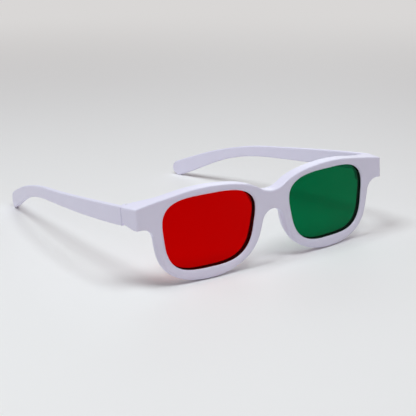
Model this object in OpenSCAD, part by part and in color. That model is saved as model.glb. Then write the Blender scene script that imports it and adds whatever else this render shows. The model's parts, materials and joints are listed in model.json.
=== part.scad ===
// Red and green training glasses: a one-piece moulded front, two dyed lenses that
// sit in grooves, and two moulded temples on pinned hinges.
// X runs to the viewer's right, Y to the back, Z up. The glasses stand open on their
// two rims and on the ends of the temples. Right and left are the wearer's.

/* [Front] */
// Width of the front across its outer corners
front_w = 141.6; // [139:0.1:146]
// Width across the end pieces, where the temples start
hinge_w = 146; // [144:0.1:150]
// Depth of the front along its brow, from its face to its back
brow_d = 5.9; // [5:0.1:7]
// Depth of the rims below the brow
rim_d = 4.2; // [3.8:0.1:4.6]
// Depth of the outer wall of a rim, before its back narrows
wall_d = 2.8; // [2:0.1:3.2]
// How much narrower a rim is at its back
back_in = 1.4; // [0.5:0.1:2]
// Radius of the face round the head
face_r = 526; // [500:1:700]
// Lean of the face, top edge to the back, in degrees
face_lean = 3.7; // [1:0.1:6]
// Width of a rim above its lens
rim_top = 3.7; // [3:0.1:4.2]
// Width of a rim below its lens
rim_bottom = 5.5; // [4:0.1:7]
// Width of a rim on its temple side
rim_side = 4.9; // [4:0.1:5.6]
// Width of a rim on its nose side
rim_nose = 5.5; // [5:0.1:6]
// Height of the bridge from the nose arch to the dip
bridge_h = 8.6; // [7.6:0.1:9.4]
// Height of the bottom of the dip above the table
saddle_z = 34; // [33.4:0.1:34.6]
// Height of an end piece
end_h = 9.4; // [9:0.1:11]
// Height of the top of an end piece above the table
end_top = 37; // [36:0.1:38]
// Distance of the front of an end piece behind the bridge
corner_y = 3.6; // [3:0.1:4.2]
// Radius of the fillet under an end piece
end_fillet = 5; // [3:0.1:5.4]
// Radius of the upright front corner of an end piece
corner_r = 0.7; // [0.3:0.1:1]

/* [Nose pads] */
// Thickness of a nose pad
pad_t = 2.6; // [2:0.1:3.2]
// Height of a nose pad
pad_h = 19; // [14:0.5:20]
// Depth of a nose pad behind its rim
pad_d = 2.2; // [1.6:0.1:3]
// Turn of a nose pad away from the nose, in degrees
pad_turn = 18; // [0:1:24]

/* [Lenses] */
// Width of a lens opening across its middle
lens_w = 46.1; // [44:0.1:47]
// Height of a lens opening
lens_h = 32.3; // [30:0.1:33]
// Distance between the two openings across their middles
lens_gap = 22.1; // [21:0.1:24]
// Thickness of a lens
lens_t = 2; // [1.6:0.1:2.2]
// Depth of a lens face behind the face of the front
lens_inset = 1; // [0.9:0.1:1.2]
// Depth of the groove that holds a lens
lens_lap = 0.6; // [0.4:0.1:1]
// Width and depth of the bevel round a lens opening
lip = 0.7; // [0.3:0.1:0.8]

/* [Temples] */
// Length of a temple from its hinge axis to its end
temple_l = 145; // [140:1:152]
// Thickness of a temple
temple_t = 2.3; // [2:0.1:2.6]
// Height of a temple at its hinge
temple_h = 8.6; // [8.4:0.1:9]
// Height of a temple at its neck, over the ear
neck_h = 5.8; // [5:0.1:7]
// Height of the paddle at the end of a temple
paddle_h = 8.6; // [7:0.1:10]
// Radius at which a temple curves in towards the head
curve_r = 505; // [450:1:600]
// Distance from the hinge to the widest point of a temple's curve
curve_from = 5; // [0:1:15]
// Distance from the hinge to the ear bend
bend_at = 73; // [70:1:80]
// Radius of the ear bend
bend_r = 160; // [150:1:170]
// Angle of the ear bend, in degrees
bend_angle = 17; // [15:0.5:18]

/* [Hinges] */
// Height of the hinge centres above the table
hinge_z = 32.6; // [32.3:0.1:32.9]
// Distance of the hinge axes behind the bridge
hinge_y = 15; // [14.4:0.1:16]
// Distance of a hinge axis behind its parting line
hinge_back = 1.9; // [1:0.1:2.2]
// Radius of the hinge barrels
barrel_r = 2.3; // [1.8:0.1:2.4]
// Height of the three barrels of a hinge together
barrel_h = 8.2; // [7.6:0.1:8.4]
// Height of the middle barrel, which is part of the temple
middle_h = 2.8; // [2.4:0.1:3.2]
// Diameter of a hinge pin
pin_d = 1.4; // [1:0.1:1.6]

/* [Clearances] */
// Gap at the parting line between an end piece and a temple
parting_gap = 0.2; // [0.1:0.05:0.4]
// Gap round the middle barrel
barrel_gap = 0.15; // [0.1:0.05:0.25]
// Running gap between a pin and the middle barrel, on the radius
pin_gap = 0.05; // [0.02:0.01:0.09]
// Gap round a lens in its groove
lens_clear = 0.1; // [0.05:0.05:0.2]

/* [Hidden] */
$fn = 64;
face_fn = 720;
// Length of a cut that is sure to pass through a piece, and of one that is sure to clear it
past = 60;
reach = 400;
// Forms that are joined run this far into one another
overlap = 1;

white = [0.90, 0.89, 0.96];
red = [0.69, 0.0, 0.0];
green = [0.0, 0.37, 0.24];
steel = [0.72, 0.73, 0.75];

// Squareness of the lens openings and of the rims: above and below, on the temple and
// nose sides; and how much wider than its middle an opening is at its top on each side
lens_square = [2.9, 3.55, 3.48, 3.05];
rim_square = [4.3, 3.4, 2.25, 1.7];
side_taper = 0.10;
nose_taper = 0.173;
ring_steps = 72;
angles = [for (i = [0:ring_steps - 1]) 360*(i + 0.5)/ring_steps];

lens_x = lens_gap/2 + lens_w/2;
// A rim stands on the lowest side of its outline
lens_z = -min([for (t = angles) rim_point(t)[1]]);
// The face leans about a line this far below the middle of the lenses
lean_drop = 1.7;
lean_z = lens_z - lean_drop;
corner_x = front_w/2;
outer_x = hinge_w/2;
// The curved face runs into the flat face of an end piece here
root_x = sqrt(2*face_r*corner_y);
end_under = end_top - end_h;
// The back thickens from the rims to the brow over this height above the end pieces
brow_rise = 4.5;

hinge_x = outer_x - temple_t - barrel_r - parting_gap;
pin_r = pin_d/2;
outer_h = (barrel_h - middle_h)/2 - barrel_gap;
outer_z = middle_h/2 + barrel_gap;

// The temples lean so that their ends just reach the table
end_s = temple_l - paddle_h/2;
bend_len = bend_r*bend_angle*PI/180;
end_c = spine(end_s);
end_far = norm(end_c);
temple_lean = asin((hinge_z - paddle_h/2)/end_far) - atan2(-end_c[1], end_c[0]);
temple_end_y = hinge_y + end_c[0]*cos(temple_lean) + end_c[1]*sin(temple_lean) + paddle_h/2;
front_edge_y = min([for (t = angles) face_y([lens_x, lens_z] + rim_point(t))]);
middle_y = (temple_end_y + front_edge_y)/2;

function signed_pow(v, p) = sign(v)*pow(abs(v), p);
function ease(u) = u*u*(3 - 2*u);
function mix(a, b, u) = a + (b - a)*u;

// Point at angle t of an outline that is the lens opening grown by four widths
function ring_point(t, nose, out, up, down, square) =
    let(c = cos(t), s = sin(t))
    let(v = signed_pow(s, 2/(s > 0 ? square[0] : square[1])))
    let(u = signed_pow(c, 2/(c > 0 ? square[2] : square[3])))
    let(half_w = lens_w/2 + (c > 0 ? out : nose))
    let(half_h = lens_h/2 + (s > 0 ? up : down))
    [half_w*u*(1 + (c > 0 ? side_taper : nose_taper)*v), half_h*v];

function ring(nose, out, up, down, square) =
    [for (t = angles) ring_point(t, nose, out, up, down, square)];

function lens_ring(grow) = ring(grow, grow, grow, grow, lens_square);

function rim_point(t, inset = 0) =
    ring_point(t, rim_nose - inset, rim_side - inset, rim_top - inset, rim_bottom - inset,
               rim_square);

// How far the leaning face lies behind the bridge at a point of the front view
function face_y(p) =
    (face_r - sqrt(face_r*face_r - p[0]*p[0]))/cos(face_lean) + tan(face_lean)*(p[1] - lean_z);

// A point of the front view at a depth behind the face
function on_face(p, depth) = [p[0], face_y(p) + depth, p[1]];

// A circle about the middle plane that touches the rim at angle t: its radius and the
// height of its centre
function rim_at(t) = [lens_x, lens_z] + rim_point(t);
function rim_normal(t) =
    let(d = rim_point(t + 0.5) - rim_point(t - 0.5)) [d[1], -d[0]]/norm(d);
function touch_r(t) = -rim_at(t)[0]/rim_normal(t)[0];
function touch_z(t) = rim_at(t)[1] + rim_normal(t)[1]*touch_r(t);
dip_side = [105:1:150];
arch_side = [150:1:200];
saddle_t = lookup(saddle_z, [for (t = dip_side) [touch_z(t) - touch_r(t), t]]);
arch_t = lookup(saddle_z - bridge_h, [for (t = arch_side) [touch_z(t) + touch_r(t), t]]);

// Side view of a temple: its middle line at the distance s from the hinge
function spine(s) =
    s < bend_at ? [s, 0] :
    s < bend_at + bend_len ?
        let(a = (s - bend_at)/bend_r*180/PI)
        [bend_at + bend_r*sin(a), bend_r*(cos(a) - 1)] :
        let(rest = s - bend_at - bend_len)
        [bend_at + bend_r*sin(bend_angle) + rest*cos(bend_angle),
         bend_r*(cos(bend_angle) - 1) - rest*sin(bend_angle)];
function spine_angle(s) = min(max(s - bend_at, 0)/bend_r*180/PI, bend_angle);
// A temple is narrowest this far behind the start of its bend
neck_after = 20;
neck_at = bend_at + neck_after;
function temple_height(s) =
    s < neck_at ? mix(temple_h, neck_h, ease(max(s, 0)/neck_at))
                : mix(neck_h, paddle_h, ease((s - neck_at)/(end_s - neck_at)));
function temple_edge(s, side) =
    spine(s) + side*temple_height(s)/2*[sin(spine_angle(s)), cos(spine_angle(s))];

// Puts a front view drawn in X and Z through the whole depth of the front
module through() {
    rotate([90, 0, 0]) linear_extrude(height = past, center = true) children();
}

// The frame of the leaning face: its curve is a circle about the Z axis at face_r
module at_face() {
    translate([0, 0, lean_z]) rotate([-face_lean, 0, 0]) children();
}

// Slab of the curved and leaning front between two depths behind its face
module face_slab(from, to) {
    at_face() translate([0, face_r, 0]) difference() {
        cylinder(r = face_r - from, h = 2*past, center = true, $fn = face_fn);
        cylinder(r = face_r - to, h = 2*past + overlap, center = true, $fn = face_fn);
    }
}

// Body of the front in depth: thin rims that thicken at the back into a deep brow
module front_body() {
    low = end_under - lean_z;
    at_face() translate([0, face_r, 0]) rotate_extrude($fn = face_fn)
        polygon([[face_r, -past], [face_r, past], [face_r - brow_d, past],
                 [face_r - brow_d, low + brow_rise], [face_r - rim_d, low],
                 [face_r - rim_d, -past]]);
}

// A front view drawn in X and Z, between two depths behind the plane that touches the
// face at the middle of a lens
module lens_slab(from, to) {
    turn = lens_x/face_r;
    lean = tan(face_lean);
    middle = lens_x*turn/2 - lens_x*turn - lean_z*lean;
    multmatrix([[1, 0, 0, 0], [turn, 1, lean, middle], [0, 0, 1, 0]])
        translate([0, to, 0]) rotate([90, 0, 0]) linear_extrude(height = to - from) children();
}

// A rim in front view, its back drawn in on all sides
module rim_body() {
    hull() {
        lens_slab(-corner_y, wall_d) rim_outline();
        lens_slab(wall_d, wall_d + back_in) rim_outline(back_in);
    }
}

// The centre of a hinge, with the temple along +Y and the pin along Z
module at_hinge() {
    translate([hinge_x, hinge_y, hinge_z]) rotate([-temple_lean, 0, 0]) children();
}

module both_sides() {
    children();
    mirror([1, 0, 0]) children();
}

module lens_outline(grow) {
    translate([lens_x, lens_z]) polygon(lens_ring(grow));
}

// The bevel round a lens opening: a funnel that follows the curve and lean of the face
module lens_funnel() {
    n = ring_steps;
    middle = [lens_x, lens_z];
    points = [for (depth = [-overlap, lip]) for (p = lens_ring(lip - depth)) on_face(middle + p, depth)];
    centres = [on_face(middle, -overlap), on_face(middle, lip)];
    faces = [for (i = [0:n - 1]) let(j = (i + 1)%n)
        each [[2*n, j, i], [i, j, n + j], [i, n + j, n + i], [n + i, n + j, 2*n + 1]]];
    polyhedron(concat(points, centres), faces);
}

module rim_outline(inset = 0) {
    translate([lens_x, lens_z])
        polygon([for (t = angles) rim_point(t, inset)]);
}

// Front view of an end piece and of the straight brow that runs down to it
function from_corner(p) = atan2(p[1] - end_top, corner_x - p[0]);

module end_outline() {
    rim = [for (t = angles) if (t < dip_side[0]) rim_at(t)];
    steepest = max([for (p = rim) from_corner(p)]);
    start = [for (p = rim) if (from_corner(p) == steepest) p][0];
    polygon([start, [corner_x, end_top], [outer_x, end_top], [outer_x, end_under],
             [lens_x, end_under]]);
}

// Front view of the fillet between a rim and the underside of its end piece
module fillet_outline() {
    middle = [lens_x + lens_w/2 + rim_side + end_fillet, end_under - end_fillet];
    difference() {
        translate([middle[0] - 2*end_fillet, middle[1]])
            square([2*end_fillet, end_fillet + overlap]);
        translate(middle) circle(r = end_fillet);
    }
}

// Front view of the bridge: its dip and its arch run smoothly into both rims
module bridge_outline() {
    top = rim_at(saddle_t);
    low = rim_at(arch_t);
    difference() {
        translate([-top[0], low[1]]) square([2*top[0], top[1] - low[1]]);
        translate([0, touch_z(saddle_t)]) circle(r = touch_r(saddle_t), $fn = 180);
        translate([0, touch_z(arch_t)]) circle(r = touch_r(arch_t), $fn = 90);
    }
}

// Front view of what is above the end pieces' underside, and of the bridge
module upper_outline() {
    both_sides() {
        end_outline();
        intersection() {
            rim_outline();
            translate([0, end_under]) square(outer_x);
        }
    }
    bridge_outline();
}

// Plan of an end piece, from behind the rim to beyond the parting line
module end_plan() {
    parting_y = hinge_y - hinge_back;
    inner_x = hinge_x - barrel_r;
    side_turn = atan2(outer_x - corner_x, parting_y - overlap - corner_y);
    middle = [corner_x - corner_r*tan(45 - side_turn/2), corner_y + corner_r];
    corner = [for (i = [0:4]) let(a = mix(-90, -side_turn, i/4))
        middle + corner_r*[cos(a), sin(a)]];
    polygon(concat([[root_x, corner_y]], corner, [
        [outer_x, parting_y - overlap], [outer_x, parting_y + end_h],
        [inner_x, parting_y + end_h], [inner_x, parting_y - overlap],
        [root_x - end_fillet, corner_y + brow_d - overlap]]));
}

module end_piece() {
    at_face() linear_extrude(height = past, center = true) end_plan();
}

// Everything between the inner ends of the two end pieces
module between_ends() {
    at_face() cube([2*(root_x + overlap), past, 2*past], center = true);
}

// Outer barrels of a hinge, with the webs that carry them
module outer_barrels() {
    for (z = [outer_z, -outer_z - outer_h])
        translate([0, 0, z]) {
            cylinder(r = barrel_r, h = outer_h);
            translate([-barrel_r, -2*hinge_back, 0]) cube([2*barrel_r, 2*hinge_back, outer_h]);
        }
}

module nose_pad() {
    root_x = lens_gap/2 - rim_nose;
    root_y = rim_d/2;
    back_y = rim_d + pad_d;
    side_r = (pow(pad_h/2, 2) + pow(pad_d, 2))/(2*pad_d);
    middle_z = saddle_z - bridge_h - pad_h/2 + overlap;
    intersection() {
        translate([root_x, root_y, 0]) rotate([0, 0, -pad_turn]) translate([-root_x, 0, 0])
            rotate([-90, 0, 0]) mirror([0, 1, 0]) linear_extrude(height = 2*back_y)
                intersection() {
                    difference() {
                        rim_outline();
                        rim_outline(pad_t);
                    }
                    square([lens_gap/2 + pad_t, saddle_z]);
                }
        translate([0, back_y - side_r, middle_z]) rotate([0, 90, 0])
            cylinder(r = side_r, h = lens_x);
        translate([0, root_y - overlap, 0]) cube([lens_x, past, saddle_z]);
    }
}

// The half space behind the parting line of a hinge
module behind_parting() {
    translate([-reach/2, -hinge_back, -reach/2]) cube(reach);
}

// Every piece is drawn with the bridge at Y = 0 and then moved, so that the origin is
// under the middle of the open glasses
module placed() {
    translate([0, -middle_y, 0]) children();
}

// The rims, the bridge and the end pieces, before anything is cut out of them
module front_blank() {
    intersection() {
        union() {
            both_sides() {
                rim_body();
                intersection() {
                    through() fillet_outline();
                    face_slab(-overlap, wall_d);
                }
            }
            through() upper_outline();
        }
        union() {
            intersection() {
                front_body();
                between_ends();
            }
            both_sides() difference() {
                end_piece();
                at_hinge() behind_parting();
            }
        }
    }
}

module front_frame() {
    color(white) placed() difference() {
        union() {
            front_blank();
            both_sides() {
                nose_pad();
                at_hinge() outer_barrels();
            }
        }
        both_sides() {
            through() lens_outline(0);
            lens_funnel();
            intersection() {
                through() lens_outline(lens_lap + lens_clear);
                face_slab(lens_inset, lens_inset + lens_t + lens_clear);
            }
            at_hinge() {
                cylinder(r = pin_r, h = 2*barrel_h, center = true);
                cylinder(r = barrel_r + barrel_gap, h = middle_h + 2*barrel_gap, center = true);
            }
        }
    }
}

module lens() {
    intersection() {
        through() lens_outline(lens_lap);
        face_slab(lens_inset, lens_inset + lens_t);
    }
}

module lens_right() {
    color(red) placed() mirror([1, 0, 0]) lens();
}

module lens_left() {
    color(green) placed() lens();
}

// Side view of a temple, from the parting line round the end of its paddle
module temple_side() {
    steps = 48;
    start = parting_gap - hinge_back;
    stations = [for (i = [0:steps]) mix(start, end_s, i/steps)];
    top = [for (s = stations) temple_edge(s, 1)];
    bottom = [for (i = [steps:-1:0]) temple_edge(stations[i], -1)];
    round_end = [for (a = [80:-10:-80])
        end_c + paddle_h/2*[cos(a - bend_angle), sin(a - bend_angle)]];
    polygon(concat(top, round_end, bottom));
}

// The curved plate that a temple is cut from
module temple_plate() {
    outer = outer_x - hinge_x;
    translate([outer - curve_r, curve_from, 0]) rotate([0, 0, 90]) difference() {
        cylinder(r = curve_r, h = 2*past, center = true, $fn = face_fn);
        cylinder(r = curve_r - temple_t, h = 2*past + overlap, center = true, $fn = face_fn);
    }
}

module temple() {
    inner = outer_x - hinge_x - temple_t;
    at_hinge() difference() {
        union() {
            intersection() {
                temple_plate();
                rotate([90, 0, 90]) linear_extrude(height = past, center = true) temple_side();
            }
            cylinder(r = barrel_r, h = middle_h, center = true);
            linear_extrude(height = middle_h, center = true)
                polygon([[0, 0], [inner + temple_t/2, 0], [inner + temple_t/2, 3*barrel_r],
                         [inner, 3*barrel_r], [0, barrel_r]]);
        }
        cylinder(r = pin_r + pin_gap, h = barrel_h, center = true);
    }
}

module temple_right() {
    color(white) placed() mirror([1, 0, 0]) temple();
}

module temple_left() {
    color(white) placed() temple();
}

module hinge_pin() {
    at_hinge() cylinder(r = pin_r, h = barrel_h, center = true);
}

module hinge_pin_right() {
    color(steel) placed() mirror([1, 0, 0]) hinge_pin();
}

module hinge_pin_left() {
    color(steel) placed() hinge_pin();
}

front_frame();
lens_right();
lens_left();
temple_right();
temple_left();
hinge_pin_right();
hinge_pin_left();
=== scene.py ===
import json
import math
import bpy
import numpy as np
from mathutils import Matrix, Vector


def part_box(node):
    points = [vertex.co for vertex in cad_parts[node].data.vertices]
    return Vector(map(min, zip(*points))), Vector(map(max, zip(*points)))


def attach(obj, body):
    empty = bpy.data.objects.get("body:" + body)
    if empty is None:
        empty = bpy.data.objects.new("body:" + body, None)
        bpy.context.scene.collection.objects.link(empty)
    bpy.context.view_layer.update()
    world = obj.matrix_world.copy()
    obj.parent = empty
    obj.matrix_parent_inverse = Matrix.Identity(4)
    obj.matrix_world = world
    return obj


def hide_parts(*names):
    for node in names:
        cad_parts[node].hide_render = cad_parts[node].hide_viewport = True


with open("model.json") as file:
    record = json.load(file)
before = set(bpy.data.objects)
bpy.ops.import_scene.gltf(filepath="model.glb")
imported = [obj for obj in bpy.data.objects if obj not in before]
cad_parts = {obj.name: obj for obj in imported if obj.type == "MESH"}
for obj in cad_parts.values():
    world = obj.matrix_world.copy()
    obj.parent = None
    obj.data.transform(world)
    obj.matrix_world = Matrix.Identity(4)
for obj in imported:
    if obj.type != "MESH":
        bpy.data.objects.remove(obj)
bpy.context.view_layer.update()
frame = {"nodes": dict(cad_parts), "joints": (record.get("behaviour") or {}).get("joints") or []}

# The moulded front. It is one shot of white polystyrene: both rims, the saddle bridge, the
# nose pads, the end pieces that wrap back to the temples, and the outer hinge barrels.
# Its sizes are in millimetres; X is across, depth runs back from the face, Z is up.
MM = 0.001

# The face: its width to the corners and at the temples, its curve, its lean and its turn back
FRONT_W = 141.6
OUTER_X = 73.0
FACE_R = 526.0
FACE_LEAN = math.radians(3.7)
CORNER_Y = 3.6
LEAN_DROP = 1.7

# The lens openings, and the width of the rim on each side of them
LENS_W = 46.1
LENS_H = 32.3
LENS_GAP = 22.1
OPENING_RISE = 0.2
RIM_TOP = 3.7
RIM_BOTTOM = 5.5
RIM_SIDE = 4.9
RIM_NOSE = 5.5

# The superellipse exponents of an opening and of a rim: top, bottom, temple side, nose side
LENS_SQUARE = (2.95, 3.55, 3.6, 3.0)
RIM_SQUARE = (4.3, 3.4, 2.25, 1.7)
SIDE_TAPER = 0.10
NOSE_TAPER = 0.173

# Depths of the brow and of the rims, and the wall of a rim in front of its narrowed back
BROW_D = 5.9
BROW_RISE = 4.5
RIM_D = 4.2
WALL_D = 2.8

# The bridge and the end pieces
SADDLE_Z = 34.0
BRIDGE_H = 8.6
END_TOP = 37.0
END_H = 9.4
END_FILLET = 6.0
BLOCK_EASE = 1.0

# The nose pads
PAD_T = 2.6
PAD_H = 19.0
PAD_D = 2.2
PAD_TURN = math.tan(math.radians(18))
PAD_RISE = 1.0
PAD_CLEAR = 0.3

# The hinge barrels
BARREL_R = 2.3
BARREL_H = 8.2
MIDDLE_H = 2.8
BARREL_GAP = 0.15
PIN_R = 0.7
HINGE_BACK = 1.9

# The groove that holds a lens
LENS_INSET = 1.2
LENS_T = 2.2
LENS_LAP = 0.6
LENS_CLEAR = 0.1

# The faces of the low rims fall back towards the opening from a ridge, which lies at a share of
# the way from the middle of the rim (0) to its outer edge (1); from LOW_END up this dies away
CROWN_D = 0.6
RIDGE_AT = 0.4
LOW_END = 14.0

# Roundings of the edges and fillets between the parts, as a steel mould leaves them
TOP_EDGE_R = 0.45
LOW_EDGE_R = 1.8
LIP_R = 1.3
BACK_EDGE_R = 0.6
CORNER_R = 0.7
GROOVE_EDGE_R = 0.3
PARTING_R = 0.05
PAD_EDGE_R = 0.9
PAD_ROOT_R = 0.3
PAD_END_R = 1.2
PAD_SIDE_R = 0.5
BARREL_EDGE_R = 0.2
KNUCKLE_FILLET = 0.4
MELT = 0.8

# How gently the curve of the face turns flat at its ends, in square millimetres
TURN_IN = 0.04

# How far inside its solid a skin lies, so that pieces that meet never share a face
SKIN_IN = 0.03

# Degrees round a lens, which start at the temple side and run over the top: how finely an
# outline is drawn and searched, where the rim stands, and where the outline's four joins can be
OUTLINE_STEP = 1.5
SEARCH_STEP = 0.1
BROW_STEP = 0.5
BOX_STEP = 1.0
AFTER_JOIN = 1.0
STAND_AT = -92.5
DIP_JOINS = (105, 158)
ARCH_JOINS = (150, 200)
BROW_LEAVES = (20, 110)
FILLET_ENDS = (0, 40)

# The angle at which the falling line of the brow meets the rounding of the corner
CORNER_FROM = 82

# The spacing of the grid that a skin is drawn on, and how far the grid goes past the piece
STEP = 0.3
GRID_UNDER = 0.6
GRID_SIDE = 0.9
GRID_OVER = 1.0
FRONT_DEEP = 15.0

# The least squared length, squared slope and width of a rim that anything is divided by
TINY_LENGTH = 1e-12
TINY_SLOPE = 1e-6
THIN_RIM = 0.1

LENS_X = LENS_GAP/2 + LENS_W/2
END_UNDER = END_TOP - END_H
CORNER_X = FRONT_W/2

# Half the room between the outer barrels, and the low end of a barrel that has none because it
# runs on through the middle of the pin
MIDDLE_REACH = MIDDLE_H/2 + BARREL_GAP
NO_LOW_END = -1.0

left_fold = next(j for j in frame["joints"] if j["name"] == "temple_left_fold")
HINGE = np.array(left_fold["pos_m"])/MM
HINGE_LEAN = math.atan2(left_fold["axis"][1], left_fold["axis"][2])


def signed_power(v, p):
    """A power of a number's size, with the number's own sign."""
    return np.sign(v)*np.abs(v)**p


def loop_at(degrees, nose, side, up, down, square):
    """Points of a lens opening's outline grown by four widths, about the middle of the lens."""
    c = np.cos(np.radians(degrees))
    s = np.sin(np.radians(degrees))
    v = signed_power(s, 2/np.where(s > 0, square[0], square[1]))
    u = signed_power(c, 2/np.where(c > 0, square[2], square[3]))
    half_w = LENS_W/2 + np.where(c > 0, side, nose)
    half_h = LENS_H/2 + np.where(s > 0, up, down)
    taper = np.where(c > 0, SIDE_TAPER, NOSE_TAPER)
    return np.stack([half_w*u*(1 + taper*v), half_h*v], axis=-1)


# The lowest flat of the rims stands on the table
LENS_Z = -loop_at(np.array([STAND_AT]), RIM_NOSE, RIM_SIDE, RIM_TOP, RIM_BOTTOM, RIM_SQUARE)[0, 1]
OPENING_Z = LENS_Z + OPENING_RISE
LEAN_Z = LENS_Z - LEAN_DROP


def rim_at(degrees):
    """Points of the outer outline of the left rim."""
    loop = loop_at(degrees, RIM_NOSE, RIM_SIDE, RIM_TOP, RIM_BOTTOM, RIM_SQUARE)
    return loop + np.array([LENS_X, LENS_Z])


def face_y(x, z):
    """How far the curved and leaning face lies behind the bridge; it flattens at the ends."""
    curve = x*x/(2*FACE_R)
    flat = 0.5*(curve + CORNER_Y - np.sqrt((curve - CORNER_Y)**2 + TURN_IN))
    return flat/math.cos(FACE_LEAN) + math.tan(FACE_LEAN)*(z - LEAN_Z)


# The foremost point of the rims lies on the front of the CAD model's box
loop = rim_at(np.arange(0, 360, BOX_STEP))
BRIDGE_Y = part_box("front_frame")[0].y/MM - face_y(loop[:, 0], loop[:, 1]).min()
PARTING_D = HINGE[1] - HINGE_BACK - BRIDGE_Y - CORNER_Y


def touching_circle(degrees):
    """The circle about the middle plane that touches the rim there: centre height and radius."""
    point = rim_at(degrees)
    ahead = rim_at(degrees + SEARCH_STEP/2) - rim_at(degrees - SEARCH_STEP/2)
    normal = np.stack([ahead[..., 1], -ahead[..., 0]], axis=-1)
    normal = normal/np.linalg.norm(normal, axis=-1, keepdims=True)
    radius = -point[..., 0]/normal[..., 0]
    return point[..., 1] + normal[..., 1]*radius, radius


def arc(centre, radius, start, stop, steps):
    """Points of an arc, its angles in degrees."""
    turn = np.radians(np.linspace(start, stop, steps))
    return np.stack([centre[0] + radius*np.cos(turn), centre[1] + radius*np.sin(turn)], axis=-1)


def bridge_arc(tries, side, level, steps):
    """Where a circle about the middle plane touches the rim when its lowest (side -1) or
    highest (side 1) point is at a level, and the arc from that point of it to the rim."""
    height, radius = touching_circle(tries)
    touch = tries[np.argmin(np.abs(height + side*radius - level))]
    centre_z, radius = touching_circle(touch)
    stop = rim_at(touch)
    angle = math.degrees(math.atan2(stop[1] - centre_z, stop[0]))
    return touch, arc((0, centre_z), radius, 90*side, angle, steps)


def front_outline():
    """Outline of the front seen from the front: dip, rim, brow, end piece, rim and arch."""
    dip_t, dip = bridge_arc(np.arange(*DIP_JOINS, SEARCH_STEP), -1, SADDLE_Z, steps=40)
    arch_t, arch = bridge_arc(np.arange(*ARCH_JOINS, SEARCH_STEP), 1, SADDLE_Z - BRIDGE_H, steps=24)

    # The brow leaves the rim where its line to the corner is steepest
    tries = np.arange(*BROW_LEAVES, BROW_STEP)
    top = rim_at(tries)
    brow_t = tries[np.argmax(np.arctan2(top[:, 1] - END_TOP, CORNER_X - top[:, 0]))]

    # The fillet under the end piece ends where the rim has come down by its radius
    tries = np.arange(*FILLET_ENDS, SEARCH_STEP)
    side_t = tries[np.argmin(np.abs(rim_at(tries)[:, 1] - END_UNDER + END_FILLET))]
    fillet = (rim_at(side_t)[0] + END_FILLET, END_UNDER - END_FILLET)
    corner_x = OUTER_X - CORNER_R
    half = np.concatenate([
        dip,
        rim_at(np.arange(dip_t - AFTER_JOIN, brow_t, -OUTLINE_STEP)),
        rim_at(np.array([brow_t])),
        arc((corner_x, END_TOP - CORNER_R), CORNER_R, CORNER_FROM, 0, steps=8),
        arc((corner_x, END_UNDER + CORNER_R), CORNER_R, 0, -90, steps=8),
        arc(fillet, END_FILLET, 90, 180, steps=16),
        rim_at(np.arange(side_t - AFTER_JOIN, arch_t - 360, -OUTLINE_STEP)),
        arch[::-1],
    ])
    mirrored = half[::-1]*np.array([-1, 1])
    return np.concatenate([half, mirrored[1:-1]])


def outline_distance(points, u, v):
    """Distance in the plane from a closed outline, negative inside it."""
    best = np.full(u.shape, np.inf)
    inside = np.zeros(u.shape, bool)
    for (u0, v0), (u1, v1) in zip(points, np.roll(points, -1, axis=0)):
        du = u1 - u0
        dv = v1 - v0
        squared_length = max(du*du + dv*dv, TINY_LENGTH)
        share = np.clip(((u - u0)*du + (v - v0)*dv)/squared_length, 0, 1)
        best = np.minimum(best, (u - u0 - share*du)**2 + (v - v0 - share*dv)**2)
        if dv:
            inside ^= ((v0 > v) != (v1 > v)) & (u < u0 + du*(v - v0)/dv)
    return np.where(inside, -1, 1)*np.sqrt(best)


def common(a, b, radius):
    """What two shapes have in common, the edge between them rounded."""
    a = a + radius
    b = b + radius
    return np.minimum(np.maximum(a, b), 0) + np.hypot(np.maximum(a, 0), np.maximum(b, 0)) - radius


def merged(a, b, radius):
    """Two shapes moulded together, the inner corner between them filleted."""
    share = np.clip(0.5 + 0.5*(b - a)/radius, 0, 1)
    return b*(1 - share) + a*share - radius*share*(1 - share)


def smooth(v):
    """Rises from 0 to 1 as its value does, with level ends."""
    v = np.clip(v, 0, 1)
    return v*v*(3 - 2*v)


def at_hinge(x, y, z):
    """Coordinates about the left hinge: across, along the open temple, along the pin."""
    y = y - HINGE[1]
    z = z - HINGE[2]
    c = math.cos(HINGE_LEAN)
    s = math.sin(HINGE_LEAN)
    return x - HINGE[0], c*y - s*z, s*y + c*z


def barrel(x, y, z, radius, low, high):
    """A hinge barrel between two heights on the pin, with an eased rim."""
    return common(np.hypot(x, y) - radius, np.maximum(low - z, z - high), BARREL_EDGE_R)


def end_block(x, depth, z):
    """The solid corner behind an end of the face, drawn from above, that carries the barrels."""
    root_x = math.sqrt(2*FACE_R*CORNER_Y) - END_FILLET
    inner_x = HINGE[0] - BARREL_R
    far = 2*PARTING_D
    plan = np.array([(root_x, -far), (2*OUTER_X, -far), (2*OUTER_X, far), (inner_x, far),
                     (inner_x, PARTING_D - BLOCK_EASE), (root_x, BROW_D - BLOCK_EASE)])
    flat_x, flat_d = np.broadcast_arrays(x[:, :, 0], depth[:, :, 0])
    block = outline_distance(plan, flat_x, flat_d)[:, :, None]
    return common(block, END_UNDER - z, TOP_EDGE_R)


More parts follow.
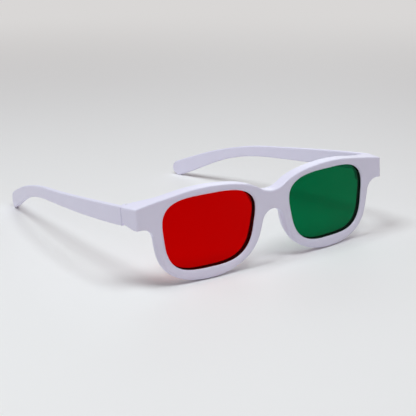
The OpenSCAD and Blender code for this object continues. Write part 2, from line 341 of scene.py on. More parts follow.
def rim_plate(x, depth, z, outline, hole):
    """The rims, the bridge and the end pieces: crowned low rims, narrowed backs, thick brow."""
    brow = smooth((z - END_UNDER)/BROW_RISE)
    high = smooth((z - LOW_END)/(END_UNDER - LOW_END))
    front_r = LOW_EDGE_R + (TOP_EDGE_R - LOW_EDGE_R)*high
    back_r = BACK_EDGE_R + (TOP_EDGE_R - BACK_EDGE_R)*brow

    # The brow is thicker than the rims and thickens further into the end pieces
    back = merged(depth - RIM_D - (BROW_D - RIM_D)*brow, end_block(x, depth, z), MELT)

    # The crown, by the place across the rim from the opening (-1) to the outer edge (1)
    across_rim = np.clip((hole + outline)/np.maximum(hole - outline, THIN_RIM), -1, 1)
    inward = np.maximum(RIDGE_AT - across_rim, 0)/(RIDGE_AT + 1)
    face = CROWN_D*(1 - high)*inward**2 - depth
    plate = common(common(outline, face, front_r), back, back_r)

    # Behind its wall a rim narrows at 45 degrees, but the brow doesn't
    wall_d = WALL_D + 2*BROW_D*brow
    plate = common(plate, (outline + depth - wall_d)/math.sqrt(2), BACK_EDGE_R)

    # The lip in front of the lens is rounder than the edge behind it
    lip_r = LIP_R*smooth((RIM_D - depth)/(RIM_D - LIP_R))
    return common(plate, -hole, np.maximum(lip_r, TOP_EDGE_R))


def nose_pad(x, depth, z, outline, hole):
    """A pad that swells from the back of a rim beside the nose, turned to lie against it."""
    root_d = RIM_D/2
    shrink = PAD_TURN*np.maximum(depth - root_d, 0)
    band = common(outline + shrink, -(outline + shrink) - PAD_T, PAD_EDGE_R)
    side_r = ((PAD_H/2)**2 + PAD_D**2)/(2*PAD_D)
    pad_z = SADDLE_Z - BRIDGE_H - PAD_H/2 + PAD_RISE
    swell = np.hypot(depth - (RIM_D + PAD_D - side_r), z - pad_z) - side_r
    pad = common(common(band, swell, PAD_EDGE_R), root_d - depth, PAD_ROOT_R)
    pad = common(pad, np.maximum(x - LENS_GAP/2 - PAD_T, z - SADDLE_Z), PAD_END_R)
    return common(pad, -hole - PAD_CLEAR, PAD_SIDE_R)


def outer_knuckles(across, along, up):
    """The two outer hinge barrels and the webs that join them to the end piece."""
    knuckles = barrel(across, along, np.abs(up), BARREL_R, MIDDLE_REACH, BARREL_H/2)
    webs = np.maximum(np.abs(across) - BARREL_R, np.maximum(along, -along - 2*HINGE_BACK))
    webs = np.maximum(webs, np.maximum(MIDDLE_REACH - np.abs(up), np.abs(up) - BARREL_H/2))
    return np.minimum(knuckles, webs)


def front_field(x, depth, z):
    """Distance from the skin of the front's left half, at places behind the unbent face."""
    flat_x, flat_z = np.broadcast_arrays(x[:, 0, :], z[:, 0, :])
    outline = outline_distance(front_outline(), flat_x, flat_z)[:, None, :]
    opening = loop_at(np.arange(0, 360, OUTLINE_STEP), 0, 0, 0, 0, LENS_SQUARE)
    hole = outline_distance(opening + [LENS_X, OPENING_Z], flat_x, flat_z)[:, None, :]
    across, along, up = at_hinge(x, depth + face_y(x, z) + BRIDGE_Y, z)
    solid = merged(rim_plate(x, depth, z, outline, hole), nose_pad(x, depth, z, outline, hole), MELT)

    # The outer side runs from the corner of the face back to the parting line
    side_w = OUTER_X - CORNER_X
    side = ((x - CORNER_X)*PARTING_D - depth*side_w)/math.hypot(PARTING_D, side_w)
    solid = common(solid, side, CORNER_R)
    solid = common(solid, along + HINGE_BACK, PARTING_R)

    groove = np.abs(depth - LENS_INSET - LENS_T/2) - LENS_T/2 - LENS_CLEAR/2
    solid = common(solid, -np.maximum(groove, hole - LENS_LAP - LENS_CLEAR), GROOVE_EDGE_R)

    # The temple's barrel turns in the room between the outer ones, and the pin goes through
    solid = merged(solid, outer_knuckles(across, along, up), KNUCKLE_FILLET)
    room = barrel(across, along, np.abs(up), BARREL_R + BARREL_GAP, NO_LOW_END, MIDDLE_REACH)
    return SKIN_IN + np.maximum(np.maximum(solid, -room), PIN_R - np.hypot(across, along))


def front_place(points):
    """From depth behind the face to the shared frame."""
    x, depth, z = points.T
    return np.stack([x, depth + face_y(x, z) + BRIDGE_Y, z], axis=-1)


CORNERS = [(i, j, k) for i in (0, 1) for j in (0, 1) for k in (0, 1)]


def at_corner(grid, corner):
    """The grid's values at one corner of each of its cells."""
    return grid[tuple(slice(c, c + n - 1) for c, n in zip(corner, grid.shape))]


def cell_points(field):
    """A point in each cell that the skin crosses, the mean of where it cuts the cell's edges,
    and the number of each cell's point."""
    cells = np.array(field.shape) - 1
    total = np.zeros((*cells, 3))
    count = np.zeros(cells)
    for axis in range(3):
        for start in CORNERS:
            if start[axis]:
                continue
            stop = tuple(s + (n == axis) for n, s in enumerate(start))
            a = at_corner(field, start)
            b = at_corner(field, stop)
            crossed = (a < 0) != (b < 0)
            share = np.where(crossed, a/np.where(crossed, a - b, 1), 0)
            for n in range(3):
                total[..., n] += crossed*(start[n] + (n == axis)*share)
            count += crossed
    active = count > 0
    number = np.full(cells, -1)
    number[active] = np.arange(active.sum())
    return np.argwhere(active) + total[active]/count[active][:, None], number


def cell_quads(inside, number):
    """A quad through the four cells round each edge of the grid that the skin crosses."""
    quads = []
    for axis in range(3):
        turned = (axis, (axis + 1) % 3, (axis + 2) % 3)
        n = np.moveaxis(number, turned, (0, 1, 2))
        a = np.moveaxis(inside, turned, (0, 1, 2))
        first = a[:-1, 1:-1, 1:-1]
        second = a[1:, 1:-1, 1:-1]
        around = np.stack([n[:, :-1, :-1], n[:, 1:, :-1], n[:, 1:, 1:], n[:, :-1, 1:]], axis=-1)
        quads.append(around[first & ~second])
        quads.append(around[~first & second][:, ::-1])
    return np.concatenate(quads)


def moved_onto_skin(points, field):
    """The points moved to where the field is zero, in three moves of at most half a step."""
    slope = np.stack(np.gradient(field), axis=-1)
    last_cell = np.array(field.shape) - 2
    for _ in range(3):
        base = np.clip(np.floor(points).astype(int), 0, last_cell)
        part = points - base
        value = np.zeros(len(points))
        uphill = np.zeros((len(points), 3))
        for corner in CORNERS:
            weight = np.prod(np.where(corner, part, 1 - part), axis=1)
            at = tuple((base + corner).T)
            value += weight*field[at]
            uphill += weight[:, None]*slope[at]
        steepness = np.maximum((uphill**2).sum(1), TINY_SLOPE)
        move = -value[:, None]*uphill/steepness[:, None]
        points = points + np.clip(move, -0.5, 0.5)
    return points


def skin(name, field, low, place):
    """The smooth skin of a moulded piece, where its distance field is zero on a grid."""
    points, number = cell_points(field)
    quads = cell_quads(field < 0, number)
    points = place(moved_onto_skin(points, field)*STEP + low)*MM
    mesh = bpy.data.meshes.new(name)
    mesh.from_pydata(points.tolist(), [], quads.tolist())
    mesh.polygons.foreach_set("use_smooth", np.ones(len(quads), bool))
    mesh.update()
    piece = bpy.data.objects.new(name, mesh)
    bpy.context.scene.collection.objects.link(piece)
    return piece


x = np.arange(0, OUTER_X + GRID_OVER, STEP)
depth = np.arange(-GRID_SIDE, FRONT_DEEP, STEP)
z = np.arange(-GRID_UNDER, LENS_Z + LENS_H/2 + RIM_TOP + GRID_OVER, STEP)
half = front_field(x[:, None, None], depth[None, :, None], z[None, None, :])
field = np.concatenate([half[:0:-1], half])
front = skin("moulded_front", field, np.array([-x[-1], depth[0], z[0]]), front_place)
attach(front, "front")
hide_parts("front_frame")


def linear(hex_colour):
    """The linear colour of an sRGB hex value."""
    parts = [int(hex_colour[n:n + 2], 16)/255 for n in (1, 3, 5)]
    return tuple(c/12.92 if c <= 0.04045 else ((c + 0.055)/1.055)**2.4 for c in parts) + (1,)


def add(tree, kind, links=None, **settings):
    """A node with its settings; what a link brings in is a constant, an output or a node."""
    node = tree.nodes.new(kind)
    for key, value in settings.items():
        setattr(node, key, value)
    for key, value in (links or {}).items():
        if isinstance(value, bpy.types.Node):
            value = next(socket for socket in value.outputs if socket.enabled)
        if isinstance(value, bpy.types.NodeSocket):
            tree.links.new(value, node.inputs[key])
        else:
            node.inputs[key].default_value = value
    return node


def new_material(name):
    """An empty material and its node tree."""
    material = bpy.data.materials.new(name)
    material.use_nodes = True
    material.node_tree.nodes.clear()
    return material, material.node_tree


# High-impact polystyrene, injection moulded in polished steel: an even satin gloss with a
# faint orange peel about 0.9 mm wide and a slight, cloudy drift of tone along the flow
WHITE = linear("#E9E6FA")
WHITE_FLOW = linear("#E4E1F6")
PEEL_MM = 0.9
PEEL_DEPTH_MM = 0.02
FLOW_MM = 14.0


def moulded_polystyrene():
    """The white plastic of the front and the temples."""
    material, tree = new_material("moulded_white_polystyrene")
    spot = add(tree, "ShaderNodeTexCoord").outputs["Object"]
    flow = add(tree, "ShaderNodeTexNoise", {"Vector": spot, "Scale": 1/(FLOW_MM*MM), "Detail": 2.0})
    tone = add(tree, "ShaderNodeMix", {0: flow, 6: WHITE, 7: WHITE_FLOW}, data_type="RGBA")
    peel = add(tree, "ShaderNodeTexNoise", {"Vector": spot, "Scale": 1/(PEEL_MM*MM), "Detail": 1.0})
    bump = add(tree, "ShaderNodeBump", {"Strength": 0.05, "Distance": PEEL_DEPTH_MM*MM, "Height": peel})
    gloss = add(tree, "ShaderNodeMapRange", {"Value": flow, "To Min": 0.36, "To Max": 0.44})
    shader = add(tree, "ShaderNodeBsdfPrincipled",
                 {"Base Color": tone, "Roughness": gloss, "IOR": 1.55, "Normal": bump})
    add(tree, "ShaderNodeOutputMaterial", {"Surface": shader})
    return material


polystyrene = moulded_polystyrene()
front.data.materials.append(polystyrene)

# The temples. Each is a thin strip moulded of the same polystyrene, straight to the ear and
# bent down behind it, curved in towards the head, with a paddle at its end and the middle
# hinge barrel inside its front end. Lengths along it are measured from the pin.
TEMPLE_L = 145.0
TEMPLE_T = 2.3
TEMPLE_H = 8.6
NECK_H = 5.8
NECK_PAST_BEND = 20.0
PADDLE_H = 8.6
CURVE_R = 505.0
CURVE_FROM = 5.0
BEND_AT = 73.0
BEND_R = 160.0
BEND = math.radians(17)
PARTING_GAP = 0.04
TEMPLE_EDGE_R = 0.6
SPINE_STEPS = 90
WEDGE_L = 3*BARREL_R

END_S = TEMPLE_L - PADDLE_H/2
NECK_AT = BEND_AT + NECK_PAST_BEND
TEMPLE_OUTER = OUTER_X - HINGE[0]


def spine(s):
    """Middle line of a temple in side view, and its downward slope, at a length from the pin."""
    turn = np.clip((s - BEND_AT)/BEND_R, 0, BEND)
    rest = np.maximum(s - BEND_AT - BEND_R*BEND, 0)
    along = np.minimum(s, BEND_AT) + BEND_R*np.sin(turn) + rest*math.cos(BEND)
    down = BEND_R*(1 - np.cos(turn)) + rest*math.sin(BEND)
    return along, -down, turn


def temple_outline():
    """A temple in side view: top edge, round end of the paddle and lower edge."""
    s = np.linspace(-2*HINGE_BACK, END_S, SPINE_STEPS)
    along, up, turn = spine(s)
    narrow = smooth(np.maximum(s, 0)/NECK_AT)
    widen = smooth((s - NECK_AT)/(END_S - NECK_AT))
    half = 0.5*np.where(s < NECK_AT, TEMPLE_H + (NECK_H - TEMPLE_H)*narrow,
                        NECK_H + (PADDLE_H - NECK_H)*widen)
    top = np.stack([along + half*np.sin(turn), up + half*np.cos(turn)], axis=-1)
    bottom = np.stack([along - half*np.sin(turn), up - half*np.cos(turn)], axis=-1)
    end = (along[-1], up[-1])
    tip = arc(end, PADDLE_H/2, 90 - math.degrees(BEND), -90 - math.degrees(BEND), steps=33)
    return np.concatenate([top[:-1], tip, bottom[-2::-1]])


def from_pin(depth, along):
    """How far outside the pin a place in the curved strip lies, by its depth and its length."""
    turn = np.arcsin((along - CURVE_FROM)/CURVE_R)
    return TEMPLE_OUTER - CURVE_R*(1 - np.cos(turn)) - depth/np.cos(turn)


def temple_place(points):
    """From depth in the strip, length and height to the shared frame."""
    depth, along, up = points.T
    across = from_pin(depth, along)
    c = math.cos(HINGE_LEAN)
    s = math.sin(HINGE_LEAN)
    return np.stack([across + HINGE[0], c*along + s*up + HINGE[1], c*up - s*along + HINGE[2]], axis=-1)


def mirrored_temple_place(points):
    """The same for the right temple, which is the left one's mirror image."""
    return temple_place(points)*[-1, 1, 1]


def middle_knuckle(across, along, up):
    """The middle hinge barrel and the wedge that joins it to the strip."""
    knuckle = barrel(across, along, np.abs(up), BARREL_R, NO_LOW_END, MIDDLE_H/2)
    inner = TEMPLE_OUTER - TEMPLE_T
    middle = inner + TEMPLE_T/2
    plan = np.array([(0, 0), (middle, 0), (middle, WEDGE_L), (inner, WEDGE_L), (0, BARREL_R)])
    flat_x, flat_a = np.broadcast_arrays(across[..., 0], along[..., 0])
    wedge = outline_distance(plan, flat_x, flat_a)[..., None]
    return np.minimum(knuckle, np.maximum(wedge, np.abs(up) - MIDDLE_H/2))


def temple_field(depth, along, up):
    """Distance from the skin of a temple, at places in the unbent strip."""
    flat_a, flat_u = np.broadcast_arrays(along[0], up[0])
    outline = outline_distance(temple_outline(), flat_a, flat_u)[None]
    strip = common(outline, -depth, TEMPLE_EDGE_R)
    strip = common(strip, depth - TEMPLE_T, TEMPLE_EDGE_R)
    strip = common(strip, PARTING_GAP - HINGE_BACK - along, PARTING_R)
    across = from_pin(depth, along)
    solid = merged(strip, middle_knuckle(across, along, up), KNUCKLE_FILLET)
    return SKIN_IN + np.maximum(solid, PIN_R - np.hypot(across, along))


depth = np.arange(-GRID_UNDER, TEMPLE_OUTER + BARREL_R + GRID_SIDE, STEP)
along = np.arange(-HINGE_BACK - GRID_SIDE, TEMPLE_L + GRID_OVER, STEP)
up = np.arange(spine(END_S)[1] - PADDLE_H/2 - GRID_OVER, TEMPLE_H/2 + GRID_OVER, STEP)
field = temple_field(depth[:, None, None], along[None, :, None], up[None, None, :])
low = np.array([depth[0], along[0], up[0]])
left = skin("moulded_temple_left", field, low, temple_place)
left.data.flip_normals()
right = skin("moulded_temple_right", field, low, mirrored_temple_place)
for piece, node in ((left, "temple_left"), (right, "temple_right")):
    piece.data.materials.append(polystyrene)
    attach(piece, node)
    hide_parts(node)

# The lenses. Each is a flat sheet of acetate dyed right through, cut to the shape of its
# opening, bent to the curve of the face and held in a groove just behind the lip.
LENS_CHAMFER = 0.1
LENS_RINGS = 24
LENS_STEPS = 160
WELD_MM = 0.01
PAINTED_SHADE_ROWS = 1.7
SHARP_FROM = math.radians(30)


def lens_interface(tree):
    """The named inputs of the tree that makes a lens, and its output."""
    numbers = ("Side", "Half Width", "Half Height", "Middle X", "Middle Z", "Thickness", "Chamfer", "Lap",
               "Square Top", "Square Bottom", "Square Side", "Square Nose", "Taper Side", "Taper Nose",
               "Face Radius", "Face Depth", "Turn In", "Lean", "Lean Height", "Front")
    for name in numbers:
        tree.interface.new_socket(name=name, in_out="INPUT", socket_type="NodeSocketFloat")
    for name in ("Dye", "Painted Shade"):
        tree.interface.new_socket(name=name, in_out="INPUT", socket_type="NodeSocketMaterial")
    tree.interface.new_socket(name="Lens", in_out="OUTPUT", socket_type="NodeSocketGeometry")


def across_sheet(tree, size, row):
    """By a row's number: its share of the face, its distance in from the cut edge, its depth."""
    back_row = add(tree, "ShaderNodeMath", {0: 2*LENS_RINGS + 3.0, 1: row}, operation="SUBTRACT")
    ring = add(tree, "ShaderNodeMath", {0: row, 1: back_row}, operation="MINIMUM")
    share = add(tree, "ShaderNodeMapRange", {"Value": ring, "From Max": LENS_RINGS - 1.0})
    lap = add(tree, "ShaderNodeMath", {0: size["Lap"], 1: size["Chamfer"]}, operation="SUBTRACT")
    lap = add(tree, "ShaderNodeMapRange", {"Value": ring, "From Min": LENS_RINGS - 1.0,
              "From Max": LENS_RINGS + 0.0, "To Min": lap, "To Max": 0.0})
    bevel = add(tree, "ShaderNodeMapRange", {"Value": ring, "From Min": LENS_RINGS + 0.0,
                "From Max": LENS_RINGS + 1.0, "To Min": size["Chamfer"], "To Max": 0.0})
    inset = add(tree, "ShaderNodeMath", {0: lap, 1: bevel}, operation="ADD")
    wall_end = add(tree, "ShaderNodeMath", {0: size["Thickness"], 1: size["Chamfer"]}, operation="SUBTRACT")
    wall = add(tree, "ShaderNodeMapRange", {"Value": row, "From Min": LENS_RINGS + 1.0,
               "From Max": LENS_RINGS + 2.0, "To Min": size["Chamfer"], "To Max": wall_end}, clamp=False)
    depth = add(tree, "ShaderNodeClamp", {"Value": wall, "Min": 0.0, "Max": size["Thickness"]})
    return share, inset, depth


def superellipse(tree, size, turn):
    """The outline at an angle: a superellipse with an exponent of its own in each direction."""
    waves = {}
    for across, operation, plus, minus in (("u", "COSINE", "Square Side", "Square Nose"),
                                           ("v", "SINE", "Square Top", "Square Bottom")):
        wave = add(tree, "ShaderNodeMath", {0: turn}, operation=operation)
        ahead = add(tree, "ShaderNodeMath", {0: wave, 1: 0.0}, operation="GREATER_THAN")
        square = add(tree, "ShaderNodeMix", {0: ahead, 2: size[minus], 3: size[plus]})
        power = add(tree, "ShaderNodeMath", {0: 2.0, 1: square}, operation="DIVIDE")
        level = add(tree, "ShaderNodeMath", {0: wave}, operation="ABSOLUTE")
        level = add(tree, "ShaderNodeMath", {0: level, 1: power}, operation="POWER")
        sign = add(tree, "ShaderNodeMath", {0: wave}, operation="SIGN")
        waves[across] = add(tree, "ShaderNodeMath", {0: level, 1: sign}, operation="MULTIPLY")
        if across == "u":
            taper = add(tree, "ShaderNodeMix", {0: ahead, 2: size["Taper Nose"], 3: size["Taper Side"]})
    widen = add(tree, "ShaderNodeMath", {0: taper, 1: waves["v"], 2: 1.0}, operation="MULTIPLY_ADD")
    return waves["u"], waves["v"], widen


def along_face(tree, size, x, z):
    """The place of the curved and leaning face, as face_y gives it."""
    square_x = add(tree, "ShaderNodeMath", {0: x, 1: x}, operation="MULTIPLY")
    curve = add(tree, "ShaderNodeMath", {0: square_x, 1: size["Face Radius"]}, operation="DIVIDE")
    curve = add(tree, "ShaderNodeMath", {0: curve, 1: 0.5}, operation="MULTIPLY")
    over = add(tree, "ShaderNodeMath", {0: curve, 1: size["Face Depth"]}, operation="SUBTRACT")
    over = add(tree, "ShaderNodeMath", {0: over, 1: over, 2: size["Turn In"]}, operation="MULTIPLY_ADD")
    over = add(tree, "ShaderNodeMath", {0: over}, operation="SQRT")
    flat = add(tree, "ShaderNodeMath", {0: curve, 1: size["Face Depth"]}, operation="ADD")
    flat = add(tree, "ShaderNodeMath", {0: flat, 1: over}, operation="SUBTRACT")
    flat = add(tree, "ShaderNodeMath", {0: flat, 1: 0.5}, operation="MULTIPLY")
    upright = add(tree, "ShaderNodeMath", {0: size["Lean"]}, operation="COSINE")
    back = add(tree, "ShaderNodeMath", {0: flat, 1: upright}, operation="DIVIDE")
    slant = add(tree, "ShaderNodeMath", {0: size["Lean"]}, operation="TANGENT")
    rise = add(tree, "ShaderNodeMath", {0: z, 1: size["Lean Height"]}, operation="SUBTRACT")
    back = add(tree, "ShaderNodeMath", {0: rise, 1: slant, 2: back}, operation="MULTIPLY_ADD")
    return add(tree, "ShaderNodeMath", {0: back, 1: size["Front"]}, operation="ADD")


def bent_sheet(tree, size, turn, row):
    """Where each point of the sheet lies, by its angle and its row."""
    share, inset, depth = across_sheet(tree, size, row)
    u, v, widen = superellipse(tree, size, turn)
    half_w = add(tree, "ShaderNodeMath", {0: size["Half Width"], 1: inset}, operation="SUBTRACT")
    half_h = add(tree, "ShaderNodeMath", {0: size["Half Height"], 1: inset}, operation="SUBTRACT")
    half_w = add(tree, "ShaderNodeMath", {0: half_w, 1: widen}, operation="MULTIPLY")
    u = add(tree, "ShaderNodeMath", {0: u, 1: share}, operation="MULTIPLY")
    v = add(tree, "ShaderNodeMath", {0: v, 1: share}, operation="MULTIPLY")
    x = add(tree, "ShaderNodeMath", {0: u, 1: half_w, 2: size["Middle X"]}, operation="MULTIPLY_ADD")
    z = add(tree, "ShaderNodeMath", {0: v, 1: half_h, 2: size["Middle Z"]}, operation="MULTIPLY_ADD")
    y = add(tree, "ShaderNodeMath", {0: along_face(tree, size, x, z), 1: depth}, operation="ADD")
    side_x = add(tree, "ShaderNodeMath", {0: x, 1: size["Side"]}, operation="MULTIPLY")
    place = add(tree, "ShaderNodeCombineXYZ", {0: side_x, 1: y, 2: z})
    return add(tree, "ShaderNodeVectorMath", {0: place, "Scale": MM}, operation="SCALE")


def lens_sheet():
    """The tree that makes a lens from a grid: its rows run from the middle of the front out
    across the face, round the cut edge in four and back in to the middle of the back."""
    tree = bpy.data.node_groups.new("lens_sheet", "GeometryNodeTree")
    lens_interface(tree)
    size = add(tree, "NodeGroupInput").outputs
    last = 2*LENS_RINGS + 3
    grid = add(tree, "GeometryNodeMeshGrid", {"Size X": 1.0, "Size Y": 1.0,
               "Vertices X": LENS_STEPS + 1, "Vertices Y": last + 1})
    spot = add(tree, "ShaderNodeSeparateXYZ", {0: add(tree, "GeometryNodeInputPosition")}).outputs
    turn = add(tree, "ShaderNodeMapRange",
               {"Value": spot[0], "From Min": -0.5, "From Max": 0.5, "To Min": 0.0, "To Max": 2*math.pi})
    row = add(tree, "ShaderNodeMapRange",
              {"Value": spot[1], "From Min": -0.5, "From Max": 0.5, "To Min": 0.0, "To Max": last})
    kept = add(tree, "GeometryNodeCaptureAttribute", {"Geometry": grid})
    kept.capture_items.new("FLOAT", "Row")
    tree.links.new(row.outputs[0], kept.inputs["Row"])
    place = bent_sheet(tree, size, turn, row)
    bent = add(tree, "GeometryNodeSetPosition", {"Geometry": kept, "Position": place})
    closed = add(tree, "GeometryNodeMergeByDistance", {"Geometry": bent, "Distance": WELD_MM*MM})
    turned = add(tree, "ShaderNodeMath", {0: size["Side"], 1: 0.0}, operation="GREATER_THAN")
    outward = add(tree, "GeometryNodeFlipFaces", {"Mesh": closed, "Selection": turned})
    real = add(tree, "GeometryNodeRealizeInstances", {"Geometry": outward})
    dyed = add(tree, "GeometryNodeSetMaterial", {"Geometry": real, "Material": size["Dye"]})

    # Painted near black, as shade for the groove they sit in, are the faces next to the wall's back: both
    # chamfers, the wall and the back lap
    wall_back = LENS_RINGS + 2.0
    painted_shade_rows = add(tree, "ShaderNodeMath", {0: kept.outputs["Row"], 1: wall_back, 2: PAINTED_SHADE_ROWS},
                  operation="COMPARE")
    cut = add(tree, "GeometryNodeSetMaterial",
              {"Geometry": dyed, "Selection": painted_shade_rows, "Material": size["Painted Shade"]})
    add(tree, "NodeGroupOutput", {"Lens": cut})
    return tree


# Cellulose acetate sheet, cast with its dye in it and polished: clear, glossy, deep in colour.
# Its index is about 1.47; here it is lowered, with the specular level, until the lenses
# reflect as little as they do in the photograph.
RED_DYE = linear("#C60000")
GREEN_DYE = linear("#00693E")
LENS_IOR = 1.2


def dyed_acetate(name, dye):
    """The clear faces of a lens."""
    material, tree = new_material(name)
    shader = add(tree, "ShaderNodeBsdfPrincipled",
                 {"Base Color": dye, "Roughness": 0.03, "IOR": LENS_IOR, "Transmission Weight": 1.0,
                  "Specular IOR Level": 0.2, "Specular Tint": dye})
    add(tree, "ShaderNodeOutputMaterial", {"Surface": shader})
    return material


# The cut edge of the sheet, sawn and left rough, is painted near black with its chamfers and the lap in the
# groove. This is painted shade, because little light reaches them through the dye and into the groove. The
# marks of the saw are 0.6 mm apart.
RED_EDGE_SHADE = linear("#2A0003")
GREEN_EDGE_SHADE = linear("#001F17")
SAW_MM = 0.6


def painted_shade_edge(name, dye):
    """The painted shade on the rim of a lens, which is seen only through the lens itself."""
    material, tree = new_material(name)
    spot = add(tree, "ShaderNodeTexCoord").outputs["Object"]
    saw = add(tree, "ShaderNodeTexNoise", {"Vector": spot, "Scale": 1/(SAW_MM*MM), "Detail": 2.0})
    rough = add(tree, "ShaderNodeMapRange", {"Value": saw, "To Min": 0.4, "To Max": 0.6})
    shader = add(tree, "ShaderNodeBsdfPrincipled", {"Base Color": dye, "Roughness": rough, "IOR": 1.47})
    add(tree, "ShaderNodeOutputMaterial", {"Surface": shader})
    return material


sheet = lens_sheet()
lens_sizes = {
    "Half Width": LENS_W/2 + LENS_LAP, "Half Height": LENS_H/2 + LENS_LAP,
    "Middle X": LENS_X, "Middle Z": OPENING_Z, "Thickness": LENS_T, "Chamfer": LENS_CHAMFER, "Lap": LENS_LAP,
    "Square Top": LENS_SQUARE[0], "Square Bottom": LENS_SQUARE[1],
    "Square Side": LENS_SQUARE[2], "Square Nose": LENS_SQUARE[3],
    "Taper Side": SIDE_TAPER, "Taper Nose": NOSE_TAPER,
    "Face Radius": FACE_R, "Face Depth": CORNER_Y, "Turn In": TURN_IN,
    "Lean": FACE_LEAN, "Lean Height": LEAN_Z, "Front": BRIDGE_Y + LENS_INSET}
for node, side, dye, edge, slot in (("lens_right", -1.0, RED_DYE, RED_EDGE_SHADE, "red_lens"),
                                    ("lens_left", 1.0, GREEN_DYE, GREEN_EDGE_SHADE, "green_lens")):
    lens = bpy.data.objects.new("dyed_" + node, bpy.data.meshes.new("dyed_" + node))
    bpy.context.scene.collection.objects.link(lens)
    modifier = lens.modifiers.new("lens_sheet", "NODES")
    modifier.node_group = sheet
    wanted = dict(lens_sizes, Side=side, Dye=dyed_acetate("dyed_acetate_" + slot, dye))
    # The rim of the lens gets the near black of painted shade
    wanted["Painted Shade"] = painted_shade_edge("painted_shade_rim_" + slot, edge)
    for item in sheet.interface.items_tree:
        if item.in_out == "INPUT":
            modifier[item.identifier] = wanted[item.name]
    made = lens.evaluated_get(bpy.context.evaluated_depsgraph_get())
    mesh = bpy.data.meshes.new_from_object(made)
    lens.modifiers.clear()
    lens.data = mesh
    mesh.materials.pop(index=0)
    mesh.polygons.foreach_set("use_smooth", np.ones(len(mesh.polygons), bool))
    mesh.set_sharp_from_angle(angle=SHARP_FROM)
    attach(lens, "front")
    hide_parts(node)

# The hinge pins. Each is a piece of bright steel wire, drawn through a die, cropped to the
# height of the barrels and pushed through all three. The die's lines run along it.
STEEL = linear("#D5D6D8")
DIE_LINE_MM = 0.1
DIE_STRETCH = 0.05


def drawn_wire():
    """Bright drawn steel with fine lines along the pin."""
    material, tree = new_material("drawn_steel_wire")
    spot = add(tree, "ShaderNodeTexCoord").outputs["Object"]
    drawn = add(tree, "ShaderNodeMapping", {"Vector": spot, "Scale": (1, 1, DIE_STRETCH)})
    lines = add(tree, "ShaderNodeTexNoise", {"Vector": drawn, "Scale": 1/(DIE_LINE_MM*MM), "Detail": 2.0})
    rough = add(tree, "ShaderNodeMapRange", {"Value": lines, "To Min": 0.25, "To Max": 0.4})
    shader = add(tree, "ShaderNodeBsdfPrincipled",
                 {"Base Color": STEEL, "Metallic": 1.0, "Roughness": rough})
    add(tree, "ShaderNodeOutputMaterial", {"Surface": shader})
    return material


wire = drawn_wire()
for node in ("hinge_pin_right", "hinge_pin_left"):
    pin = frame["nodes"][node]
    pin.data.materials.clear()
    pin.data.materials.append(wire)

# The table: a large board, painted pale and matt, that the glasses stand on. Far out, where
# only low views see it, its colour runs into the background's, so that it has no visible end.
# Its sizes are in metres.
TABLE = linear("#F0EFF0")
BACKGROUND = linear("#D9D7D6")
TABLE_R = 6.0
TABLE_SIDES = 36
FADE_FROM = 0.2
FADE_TO = 0.9


def pale_board():
    """Matt paint that fades to the background's colour for the camera, far out."""
    material, tree = new_material("pale_board")
    spot = add(tree, "ShaderNodeTexCoord").outputs["Object"]
    far = add(tree, "ShaderNodeVectorMath", {0: spot}, operation="LENGTH").outputs["Value"]
    fade = add(tree, "ShaderNodeMapRange", {"Value": far, "From Min": FADE_FROM, "From Max": FADE_TO},
               interpolation_type="SMOOTHSTEP")
    seen = add(tree, "ShaderNodeLightPath").outputs["Is Camera Ray"]
    fade = add(tree, "ShaderNodeMath", {0: fade, 1: seen}, operation="MULTIPLY")
    board = add(tree, "ShaderNodeBsdfPrincipled", {"Base Color": TABLE, "Roughness": 0.7})
    back = add(tree, "ShaderNodeEmission", {"Color": BACKGROUND, "Strength": 1.0})
    mixed = add(tree, "ShaderNodeMixShader", {0: fade, 1: board, 2: back})
    add(tree, "ShaderNodeOutputMaterial", {"Surface": mixed})
    return material


mesh = bpy.data.meshes.new("table")
turns = [math.radians(n*360/TABLE_SIDES) for n in range(TABLE_SIDES)]
rim = [(TABLE_R*math.cos(turn), TABLE_R*math.sin(turn), 0) for turn in turns]
mesh.from_pydata(rim, [], [tuple(range(TABLE_SIDES))])
table = bpy.data.objects.new("table", mesh)
table.data.materials.append(pale_board())
bpy.context.scene.collection.objects.link(table)

# The camera. It stands where the photograph was taken from, as the lens openings, the outer
# corners, the parting lines and the ends of the temples in it show. Its place is measured
# from the bridge in millimetres, and its focal length in the photograph's pixels.
CAMERA_FROM_BRIDGE = (-300.84, -361.47, 169.65)
CAMERA_YAW = math.radians(36.130)
CAMERA_PITCH = math.radians(-17.0015)
CAMERA_ROLL = math.radians(-0.6113)
FOCAL_PX = 1089.16
PHOTO_PX = 416
SENSOR_MM = 36
NEAREST = 0.01

camera_data = bpy.data.cameras.new("camera")
camera_data.sensor_width = SENSOR_MM
camera_data.lens = FOCAL_PX/PHOTO_PX*SENSOR_MM
camera_data.clip_start = NEAREST
camera = bpy.data.objects.new("camera", camera_data)
bpy.context.scene.collection.objects.link(camera)
turned = Matrix.Rotation(-CAMERA_YAW, 4, "Z") @ Matrix.Rotation(math.pi/2 + CAMERA_PITCH, 4, "X")
turned = turned @ Matrix.Rotation(CAMERA_ROLL, 4, "Z")
place = (Vector(CAMERA_FROM_BRIDGE) + Vector((0, BRIDGE_Y, 0)))*MM
camera.matrix_world = Matrix.Translation(place) @ turned
bpy.context.scene.camera = camera

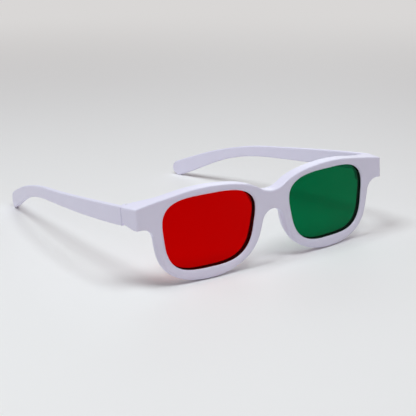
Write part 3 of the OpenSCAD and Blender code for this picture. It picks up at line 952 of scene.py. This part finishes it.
# The light. Two round softboxes hang above, at the left and in front, two weak ones stand low
# behind, and the room adds a weak warm fill. Sizes are in metres.
LAMP_FAR = 1.0
LAMP_SIZE = 0.45
ROOM_FILL = linear("#FFDCD4")
ROOM_STRENGTH = 0.15


def soft_lamp(name, azimuth, elevation, power, colour):
    """A round softbox that faces the glasses, its direction given in degrees."""
    a = math.radians(azimuth)
    e = math.radians(elevation)
    place = Vector((math.cos(e)*math.cos(a), math.cos(e)*math.sin(a), math.sin(e)))*LAMP_FAR
    data = bpy.data.lights.new(name, "AREA")
    data.shape = "DISK"
    data.size = LAMP_SIZE
    data.energy = power
    data.color = linear(colour)[:3]
    lamp = bpy.data.objects.new(name, data)
    lamp.location = place
    lamp.rotation_euler = (-place).to_track_quat("-Z", "Y").to_euler()
    bpy.context.scene.collection.objects.link(lamp)


soft_lamp("softbox_left", azimuth=180, elevation=68, power=4.8, colour="#F3FDFF")
soft_lamp("softbox_front", azimuth=270, elevation=68, power=3.5, colour="#F5FDFF")
soft_lamp("fill_behind_left", azimuth=135, elevation=20, power=0.7, colour="#F3FDFF")
soft_lamp("fill_behind_right", azimuth=45, elevation=20, power=0.65, colour="#F3FDFF")

world = bpy.data.worlds.new("room")
bpy.context.scene.world = world
world.use_nodes = True
room = world.node_tree
room.nodes.clear()

# The camera, reflections and what the lenses let through see the pale background, not the fill
rays = add(room, "ShaderNodeLightPath").outputs
seen = add(room, "ShaderNodeMath", {0: rays["Is Camera Ray"], 1: rays["Is Glossy Ray"]}, operation="MAXIMUM")
seen = add(room, "ShaderNodeMath", {0: seen, 1: rays["Is Transmission Ray"]}, operation="MAXIMUM")
fill = add(room, "ShaderNodeBackground", {"Color": ROOM_FILL, "Strength": ROOM_STRENGTH})
back = add(room, "ShaderNodeBackground", {"Color": BACKGROUND, "Strength": 1.0})
mixed = add(room, "ShaderNodeMixShader", {0: seen, 1: fill, 2: back})
add(room, "ShaderNodeOutputWorld", {"Surface": mixed})
bpy.context.scene.view_settings.view_transform = "Standard"
